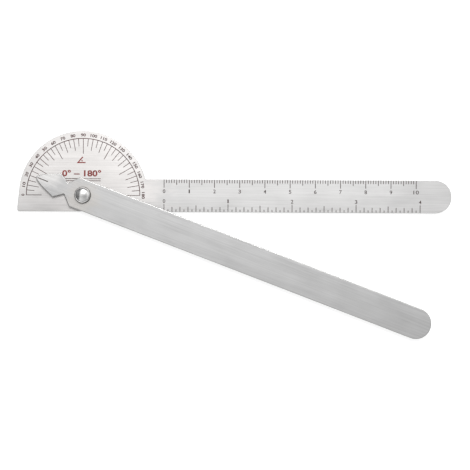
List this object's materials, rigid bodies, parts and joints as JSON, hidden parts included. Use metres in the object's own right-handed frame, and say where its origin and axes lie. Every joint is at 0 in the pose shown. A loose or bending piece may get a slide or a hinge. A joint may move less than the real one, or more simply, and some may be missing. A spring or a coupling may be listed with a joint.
{
  "type": "protractor",
  "caption": "Flat steel pocket protractor: a half-round dial plate with a graduated arm, and a plain pointer arm riveted at the dial's centre that swings to read angles.",
  "frame": {"origin": "on the pivot axis, in the plane of the plate's back, which is the face the protractor lies on", "axes": "+X along the graduated arm, +Y towards the dial's 90 degree mark, +Z out of the dial face"},
  "size_m": [0.1722, 0.0817, 0.0053],
  "materials": {
    "plate_steel": "stainless sheet, fine lengthwise brushing",
    "arm_steel": "stainless sheet, fine lengthwise brushing",
    "rivet_steel": "polished stainless dome",
    "washer_steel": "stamped washer, dull",
    "spring_steel": "spring steel, dull",
    "marking_ink": "dark red-brown ink in etched lines and numerals"
  },
  "bodies": {
    "root": {"protractor_plate": "plate_steel", "pivot_rivet": "rivet_steel", "spacer_washer": "washer_steel", "wave_washer": "spring_steel"},
    "arm": {"moving_arm": "arm_steel"}
  },
  "joints": [
    {"name": "arm_pivot", "type": "hinge", "parent": "root", "child": "arm", "pos_m": [0, 0, 0], "axis": [0, 0, 1], "continuous": true}
  ]
}
